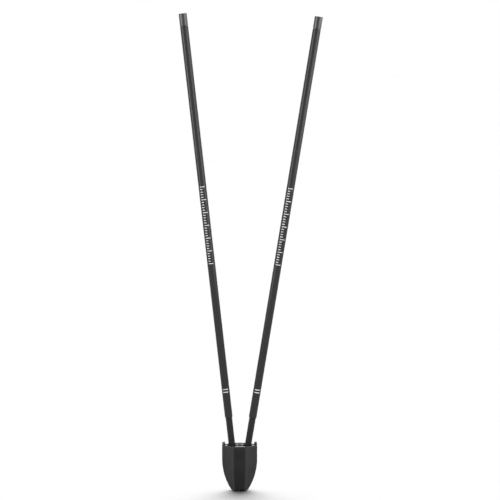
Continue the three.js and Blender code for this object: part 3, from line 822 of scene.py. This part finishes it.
def plateLug(side):
    # The lug's outline in X and Z, carried through Y and drawn in a little at both ends. Its
    # tongue lies just inside the plate, so that the two join without shared faces.
    p = plate
    low = p["top"] - p["thickness"] + p["tongueLift"]
    high = p["top"] - p["tongueSink"]
    tip = p["lugInner"] - p["tongue"]
    corners = [[tip, low], [p["lugOuter"], low], [p["lugOuter"], p["lugTop"]],
               [p["lugInner"], p["lugTop"]], [p["lugInner"], high], [tip, high]]
    radii = [p["tongueRadius"], p["tongueRadius"], p["lugOuterRadius"], p["lugInnerRadius"],
             p["lugFillet"], p["tongueRadius"]]
    outline = softened(corners, radii, p["lugSteps"])
    along = np.roll(outline, -1, 0) - np.roll(outline, 1, 0)
    along /= np.linalg.norm(along, axis=1, keepdims=True)
    inward = np.stack([-along[:, 1], along[:, 0]], -1)
    drawn, out = roundedTurn(p["lugEdgeRadius"], p["easeSteps"])
    drawn = drawn[::-1]
    depth = p["lugHalfDepth"] - p["lugEdgeRadius"] + out[::-1]
    rows = np.concatenate([-depth, depth[::-1]])
    draw = np.concatenate([drawn, drawn[::-1]])
    section = outline + inward * draw[:, None, None]
    points = np.stack([section[..., 0] * side, rows[:, None] * np.ones(len(outline)),
                       section[..., 1]], -1)
    count = len(outline)
    last = (len(rows) - 1) * count
    return newPiece("plateLug", points, gridFaces(len(rows), count),
                    [range(count), range(last, last + count)])


def makeTopPlate():
    # The holder's own section moved in to the plate's edge, with a lug joined on at each end.
    p = plate
    inward, up = roundedTurn(p["edgeRadius"], p["easeSteps"])
    distances = p["inset"] + np.concatenate([[0], inward])
    outlines = holderSection(np.full(len(distances), holder["height"]), distances)
    heights = np.concatenate([[p["top"] - p["thickness"]], p["top"] - p["edgeRadius"] + up])
    piece = newPiece("topPlate", *prismRows(outlines, heights))
    for side in (-1, 1):
        combine(piece, plateLug(side), "UNION")
    for side in (-1, 1):
        combine(piece, slotCutter(side), "DIFFERENCE")
    low, high = p["top"] - p["holeUnder"], p["top"] + p["holeOver"]
    hole = [[0, low], [p["screwHole"], low], [p["screwHole"], high], [0, high]]
    combine(piece, turnedSolid("hole", hole, upright, 0, p["holeSides"]), "DIFFERENCE")

    def wearAndHighlight(local):
        # A painted highlight: it grows over the lug's outer rounding, and is nought elsewhere.
        spot = local / perMillimetre
        out = np.clip((np.abs(spot[:, 0]) - p["lugOuter"] + p["highlightWidth"]) / p["highlightFade"], 0, 1)
        return out * np.clip((spot[:, 2] - p["top"] - p["highlightFoot"]) / p["highlightRise"], 0, 1)

    finishPiece(piece, "top_plate", "holder", "plate_gloss", edge=wearAndHighlight, sharpAngle=p["sharpAngle"])


makeTopPlate()
print("top plate is made")


screw = {
    "seat": 48.25, "radius": 1.25, "tip": 18.25, "tipChamfer": 0.42, "headRadius": 2.5,
    "headEase": 0.1, "domeInset": 0.02, "headHeight": 1.0, "acrossFlats": 1.5, "socketDepth": 0.6,
    "socketEase": 0.1, "socketEaseDrop": 0.07, "socketCone": 0.15, "sides": 96, "domeRows": 14,
    "sharpAngle": 30,
}


def makeCentreScrew():
    # The dome's height over the seat is the head height times sqrt(1 - (r / R)^2), and its
    # rings change from a circle at the rim to a hexagon at the socket.
    s = screw
    u = np.linspace(0, fullTurn, s["sides"], endpoint=False)
    wrapped = (u % (math.pi / 3)) - math.pi / 6
    hexagon = s["acrossFlats"] / 2 / np.cos(wrapped)
    circle = np.ones_like(u)
    shank = [(0, s["tip"]), (s["radius"] - s["tipChamfer"], s["tip"]),
             (s["radius"], s["tip"] + s["tipChamfer"]), (s["radius"], s["seat"]),
             (s["headRadius"] - s["headEase"], s["seat"]),
             (s["headRadius"], s["seat"] + s["headEase"])]
    radii = [circle * r for r, z in shank]
    heights = [circle * z for r, z in shank]
    share = np.linspace(0, 1, s["domeRows"])[:, None]
    outer = (s["headRadius"] - s["domeInset"]) * circle
    inner = hexagon + s["socketEase"]
    domeRadii = outer * (1 - share) + inner * share
    domeHeights = s["seat"] + s["headEase"] + (s["headHeight"] - s["headEase"]) * np.sqrt(
        np.clip(1 - (domeRadii / s["headRadius"]) ** 2, 0, 1)) / math.sqrt(
        1 - (s["acrossFlats"] / 2 / s["headRadius"]) ** 2)
    floor = s["seat"] + s["headHeight"] - s["socketDepth"]
    socket = [(hexagon, domeHeights[-1] - s["socketEaseDrop"]), (hexagon, circle * floor),
              (hexagon * 0, circle * (floor - s["socketCone"]))]
    r = np.concatenate([radii, domeRadii, [row[0] for row in socket]])
    z = np.minimum(np.concatenate([heights, domeHeights, [row[1] for row in socket]]),
                   s["seat"] + s["headHeight"])
    points = np.stack([r * np.cos(u), r * np.sin(u), z], -1)
    piece = newPiece("centreScrew", points, gridFaces(len(r), s["sides"]))
    finishPiece(piece, "centre_screw", "holder", "screw_black", sharpAngle=s["sharpAngle"])


makeCentreScrew()


# The hinge stack and the other pieces inside the holder. Each "ease" rounds a profile's corners.
hinge = {
    "pinRadius": 1.5, "pinHead": 2.2, "pinSeat": 4.3, "pinHeadThickness": 0.75, "pinTail": 0.8,
    "pinEase": 0.12, "grooveRadius": 1.1, "grooveEnd": 4.9, "clipBore": 1.2, "clipRadius": 2.6,
    "clipThickness": 0.5, "clipMouth": 2.0, "clipGap": 0.01, "clipEase": 0.08, "clipRows": 73,
    "boreRadius": 1.58, "bushRadius": 2.08, "flangeRadius": 3.18, "flangeThickness": 0.9,
    "bushEase": 0.1, "halfEye": 2.0, "gap": 0.1, "washerHole": 1.6, "washerRadius": 3.3,
    "washerThickness": 0.4, "washerEase": 0.06, "springRadius": 3.2, "springThickness": 0.2,
    "springHeight": 0.4, "springEase": 0.04,
}
rivet = {"seat": 4.3, "head": 0.45, "headRadius": 1.5, "radius": 0.9, "crownRows": 9, "sides": 72}
insert = {"bore": 1.33, "radius": 2.3, "top": 24.3, "length": 6, "groove": 0.3, "ease": 0.12}


def makePin(name, place):
    # A headed pin with a groove for its clip near the tail.
    h = hinge
    front, seat, end = -h["pinSeat"], h["pinSeat"] - h["gap"], h["pinSeat"] + h["pinTail"]
    headFront = front - h["pinHeadThickness"]
    profile = [[0, headFront], [h["pinHead"], headFront], [h["pinHead"], front],
               [h["pinRadius"], front], [h["pinRadius"], seat], [h["grooveRadius"], seat],
               [h["grooveRadius"], h["grooveEnd"]], [h["pinRadius"], h["grooveEnd"]],
               [h["pinRadius"], end], [0, end]]
    piece = turnedSolid(f"{name}Pin", profile, place, h["pinEase"])
    finishPiece(piece, f"{name}_pin", "holder", "pin_steel", place)


def makeClip(name, place):
    # A rectangle with eased corners carried round an arc that leaves the mouth open below.
    h = hinge
    low = h["pinSeat"] + h["clipGap"]
    high = low + h["clipThickness"] - 2 * h["clipGap"]
    section = softened([[h["clipBore"], low], [h["clipRadius"], low], [h["clipRadius"], high],
                        [h["clipBore"], high]], h["clipEase"], 3)
    half = math.asin(h["clipMouth"] / 2 / h["clipRadius"])
    u = math.pi / 2 + half + np.linspace(0, fullTurn - 2 * half, h["clipRows"])
    r, z = section.T
    points = np.stack([r * np.cos(u)[:, None], r * np.sin(u)[:, None],
                       z * np.ones((len(u), 1))], -1)
    count = len(section)
    last = (len(u) - 1) * count
    piece = newPiece(f"{name}PinClip", place.forward(points), gridFaces(len(u), count),
                     [range(count), range(last, last + count)])
    finishPiece(piece, f"{name}_pin_clip", "holder", "spring_steel", place)


def makeWashers(name, place):
    # A flat friction washer behind the eye, and a shallow cone behind that.
    h = hinge
    front = h["halfEye"] + h["gap"]
    back = front + h["washerThickness"]
    profile = [[h["washerHole"], front], [h["washerRadius"], front], [h["washerRadius"], back],
               [h["washerHole"], back]]
    piece = turnedRing(f"{name}FrictionWasher", profile, place, h["washerEase"])
    finishPiece(piece, f"{name}_friction_washer", "holder", "washer_polymer", place)
    front = back + h["gap"]
    rise = h["springHeight"] - h["springThickness"]
    profile = [[h["washerHole"], front + rise], [h["springRadius"], front],
               [h["springRadius"], front + h["springThickness"]],
               [h["washerHole"], front + h["springHeight"]]]
    piece = turnedRing(f"{name}SpringWasher", profile, place, h["springEase"])
    finishPiece(piece, f"{name}_spring_washer", "holder", "spring_steel", place)


def makeBush(name, place):
    # A sleeve in the arm's eye, with its flange at the front.
    h = hinge
    back = h["halfEye"]
    front = -back - h["gap"]
    flangeFront = front - h["flangeThickness"]
    profile = [[h["boreRadius"], flangeFront], [h["flangeRadius"], flangeFront],
               [h["flangeRadius"], front], [h["bushRadius"], front], [h["bushRadius"], back],
               [h["boreRadius"], back]]
    piece = turnedRing(f"{name}Bush", profile, place, h["bushEase"])
    finishPiece(piece, f"{name}_bush", f"{name}_rod", "bush_polymer", place)


def makeRivet(name, place):
    # A domed head at each end of a plain shank: (R cos a, seat + rise sin a).
    v = rivet
    a = np.linspace(0, math.pi / 2, v["crownRows"])
    crown = np.column_stack([v["headRadius"] * np.cos(a), v["seat"] + v["head"] * np.sin(a)])
    crown[-1, 0] = 0
    profile = np.concatenate([crown[::-1] * [1, -1], [[v["radius"], -v["seat"]],
                              [v["radius"], v["seat"]]], crown])
    points = place.forward(turnedPoints(profile, v["sides"]))
    piece = newPiece(f"{name}Rivet", points, gridFaces(len(profile), v["sides"]))
    finishPiece(piece, f"{name}_rivet", "holder", "frame_steel", place)


def makeInsert():
    # A sleeve with a wide groove round its middle.
    n = insert
    bottom = n["top"] - n["length"]
    third = n["length"] / 3
    inner = n["radius"] - n["groove"]
    profile = [[n["bore"], bottom], [n["radius"], bottom], [n["radius"], bottom + third],
               [inner, bottom + third + n["groove"]], [inner, n["top"] - third - n["groove"]],
               [n["radius"], n["top"] - third], [n["radius"], n["top"]], [n["bore"], n["top"]]]
    piece = turnedRing("threadedInsert", profile, upright, n["ease"])
    finishPiece(piece, "threaded_insert", "holder", "insert_brass", upright)


makeInsert()
for name, side in rodSides.items():
    pinOrigin = joints[f"{name}_rod_pivot"]["pos_m"]
    stackPlace = pinPlace(pinOrigin)
    makePin(name, stackPlace)
    makeClip(name, stackPlace)
    makeWashers(name, stackPlace)
    makeBush(name, stackPlace)
    rivetLow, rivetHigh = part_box(f"{name}_rivet")
    makeRivet(name, pinPlace((rivetLow + rivetHigh) / 2))
for node, slotName in {"hinge_core": "core_polymer", "front_cheek": "frame_steel",
                       "back_cheek": "frame_steel"}.items():
    frame["nodes"][node].data.materials.clear()
    frame["nodes"][node].data.materials.append(finishes[slotName])
print("screw, hinges and inner frame are made")


# Heights on a rod are measured from its pivot.
arm = {
    "radius": 3.4, "eyeRadius": 3.5, "halfEye": 2.0, "bladeLength": 10, "bladeRow": 1,
    "blend": 1.6, "length": 45, "tenonLength": 32, "tenonRadius": 2.9, "tenonChamfer": 0.6,
    "boreRadius": 2.18, "boreOver": 1, "boreSides": 72, "chamfer": 0.3, "squareness": 14,
    "eyeEndSine": 0.2, "eyeRows": 17, "blendRows": 9, "sides": 128, "thinnest": 0.0005,
    "tip": 0.0001, "rub": 0.25, "rubReach": 0.5,
}
tube = {
    "radius": 4, "wall": 0.8, "bottom": 45.3, "top": 444.2, "bevel": 0.45, "bevelLength": 0.9,
    "ease": 0.1, "sides": 128, "rub": 0.6, "lowRubReach": 0.45, "topRubReach": 0.25,
}
cap = {
    "length": 12, "top": 456.5, "radius": 4, "edgeRadius": 0.5, "plugLength": 14,
    "plugRadius": 2.9, "plugEase": 0.5, "neckEase": 0.05, "shoulderEase": 0.12, "sides": 128,
}


def makeArm(name, place):
    # Each section is |x / w|^p + |y / h|^p = 1: nearly a rectangle at the eye, a circle above.
    a = arm
    turn = np.linspace(-math.pi / 2, math.asin(a["eyeEndSine"]), a["eyeRows"])
    eye = np.column_stack([a["eyeRadius"] * np.sin(turn), a["eyeRadius"] * np.cos(turn)])
    blend = np.linspace(0, 1, a["blendRows"])
    smooth = blend ** 2 * (3 - 2 * blend)
    shoulder = a["length"]
    tenonTop = shoulder + a["tenonLength"]
    upper = [(shoulder - a["chamfer"], a["radius"]), (shoulder, a["radius"] - a["chamfer"]),
             (shoulder, a["tenonRadius"]), (tenonTop - a["tenonChamfer"], a["tenonRadius"]),
             (tenonTop, a["tenonRadius"] - a["tenonChamfer"]), (tenonTop, a["tip"])]
    lengths = np.concatenate([eye[:, 0], [a["bladeLength"] - a["bladeRow"]],
                              a["bladeLength"] + a["blend"] * blend, [row[0] for row in upper]])
    w = np.concatenate([eye[:, 1], np.full(1 + len(blend), a["radius"]), [row[1] for row in upper]])
    w = np.where((lengths > 0) & (w > a["radius"]), a["radius"], w)
    h = np.concatenate([np.full(len(eye) + 1, a["halfEye"]),
                        a["halfEye"] + (a["radius"] - a["halfEye"]) * smooth,
                        [row[1] for row in upper]])
    p = np.concatenate([np.full(len(eye) + 1, a["squareness"]),
                        2 + (a["squareness"] - 2) * (1 - smooth) ** 2, np.full(len(upper), 2)])
    u = np.linspace(0, fullTurn, a["sides"], endpoint=False)[None, :]
    w, h, p = np.maximum(w, a["thinnest"])[:, None], h[:, None], p[:, None]
    r = ((np.abs(np.cos(u)) / w) ** p + (np.abs(np.sin(u)) / h) ** p) ** (-1 / p)
    points = np.stack([r * np.cos(u), r * np.sin(u), lengths[:, None] * np.ones_like(u)], -1)
    ends = [range(a["sides"]), range((len(lengths) - 1) * a["sides"], len(lengths) * a["sides"])]
    piece = newPiece(f"{name}Arm", place.forward(points), gridFaces(*points.shape[:2]), ends)
    pin = pinPlace(place.origin)
    reach = a["halfEye"] + a["boreOver"]
    bore = [[0, -reach], [a["boreRadius"], -reach], [a["boreRadius"], reach], [0, reach]]
    combine(piece, turnedSolid("bore", bore, pin, 0, a["boreSides"]), "DIFFERENCE")

    def wearAndSheen(local):
        # exp(-(distance from the shoulder / reach)^2)
        along = local[:, 2] / perMillimetre
        return a["rub"] * np.exp(-((along - shoulder) / a["rubReach"]) ** 2)

    finishPiece(piece, f"{name}_arm", f"{name}_rod", "arm_black", place, wearAndSheen)


def makeTube(name, place):
    # A straight tube with a bevel at its lower end.
    t = tube
    bore = t["radius"] - t["wall"]
    profile = [[bore, t["bottom"]], [t["radius"] - t["bevel"], t["bottom"]],
               [t["radius"], t["bottom"] + t["bevelLength"]], [t["radius"], t["top"]],
               [bore, t["top"]]]
    piece = turnedRing(f"{name}Tube", profile, place, t["ease"], t["sides"])

    def wearAndSheen(local):
        # exp(-(distance / reach)^2) from the bevel and from the top edge, outside only
        along = local[:, 2] / perMillimetre
        radius = np.hypot(local[:, 0], local[:, 1]) / perMillimetre
        low = np.exp(-((along - t["bottom"] - t["bevelLength"]) / t["lowRubReach"]) ** 2)
        high = np.exp(-((along - t["top"]) / t["topRubReach"]) ** 2)
        return np.where(radius > bore + t["ease"], t["rub"] * np.maximum(low, high), 0)

    finishPiece(piece, f"{name}_tube", f"{name}_rod", "tube_black", place, wearAndSheen)


def makeEndCap(name, place):
    # A solid cap of the tube's own width, with a plug that goes down the bore.
    c = cap
    shoulder = c["top"] - c["length"]
    plugEnd = shoulder - c["plugLength"]
    profile = [[0, plugEnd], [c["plugRadius"], plugEnd], [c["plugRadius"], shoulder],
               [c["radius"], shoulder], [c["radius"], c["top"]], [0, c["top"]]]
    soft = [0, c["plugEase"], c["neckEase"], c["shoulderEase"], c["edgeRadius"], 0]
    piece = turnedSolid(f"{name}EndCap", profile, place, soft, c["sides"])
    finishPiece(piece, f"{name}_end_cap", f"{name}_rod", "cap_plastic", place)


# A plain measuring scale and two short bars, printed on the front of each tube.
marks = {
    "thickness": 0.03, "sink": 0.02, "scaleStart": 207, "tickCount": 31, "tickPitch": 2.6,
    "tickWidth": 0.62, "shortTick": 2.4, "longTick": 4.8, "longEvery": 5, "barWidth": 0.8,
    "barLength": 5.4, "bars": (76.0, 73.1), "arcSteps": 12, "sharpAngle": 40,
}


def inkPatches(name, suffix, centres, widths, halfAngles, shifts, place):
    # Each mark is a thin curved slab: (r cos u, r sin u, z), u across the front, z up the tube.
    m = marks
    share = np.linspace(-1, 1, m["arcSteps"] + 1)
    u = -math.pi / 2 + shifts[:, None] + halfAngles[:, None] * share
    inner = tube["radius"] - m["sink"]
    outer = tube["radius"] + m["thickness"]
    radius = np.array([inner, outer, outer, inner])[None, :, None]
    along = centres[:, None] + widths[:, None] / 2 * np.array([-1, -1, 1, 1])
    x = radius * np.cos(u)[:, None, :]
    y = radius * np.sin(u)[:, None, :]
    points = np.stack(np.broadcast_arrays(x, y, along[:, :, None]), -1)
    count = m["arcSteps"] + 1
    one = gridFaces(4, count, False, True)
    starts = np.arange(len(centres)) * 4 * count
    faces = (one[None] + starts[:, None, None]).reshape(-1, 4)
    ends = np.array([[0, 1, 2, 3], [3, 2, 1, 0]]) * count + np.array([[0], [count - 1]])
    faces = np.concatenate([faces, (ends[None] + starts[:, None, None]).reshape(-1, 4)])
    piece = newPiece(f"{name}{suffix}", place.forward(points), faces)
    dress(piece, ink, place, m["sharpAngle"])
    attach(piece, f"{name}_rod")


def makeMarks(name, place):
    # Ticks of two lengths that share their inner end, and the bars below them.
    m = marks
    index = np.arange(m["tickCount"])
    isLong = index % m["longEvery"] == 0
    length = np.where(isLong, m["longTick"], m["shortTick"])
    lean = np.where(isLong, 0, (m["shortTick"] - m["longTick"]) / 2) / tube["radius"]
    inkPatches(name, "Scale", m["scaleStart"] + index * m["tickPitch"],
               np.full(len(index), m["tickWidth"]), length / 2 / tube["radius"], lean, place)
    bars = np.array(m["bars"])
    inkPatches(name, "Bars", bars, np.full(2, m["barWidth"]),
               np.full(2, m["barLength"] / 2 / tube["radius"]), np.zeros(2), place)


for name, side in rodSides.items():
    place = rodPlace(side)
    makeArm(name, place)
    makeTube(name, place)
    makeEndCap(name, place)
    makeMarks(name, place)
print("rods are made")


floorSetup = {
    "halfSide": 30, "pale": (0.92, 0.92, 0.92), "mottled": (0.96, 0.96, 0.96),
    "roughness": 0.75, "grainScale": 3, "mottleScale": 2,
}


def makeFloor(setup):
    s = setup["halfSide"]
    mesh = bpy.data.meshes.new("floor")
    mesh.from_pydata([(-s, -s, 0), (s, -s, 0), (s, s, 0), (-s, s, 0)], [], [(0, 1, 2, 3)])
    mesh.materials.append(paleFloor(setup))
    floor = bpy.data.objects.new("floor", mesh)
    scene.collection.objects.link(floor)
    # The soft boxes don't reach the floor, so that it is evenly white all round.
    unlit = bpy.data.collections.new("unlit")
    unlit.objects.link(floor)
    unlit.collection_objects[0].light_linking.link_state = "EXCLUDE"
    for name in lightSetup:
        scene.objects[name].light_linking.receiver_collection = unlit


makeFloor(floorSetup)
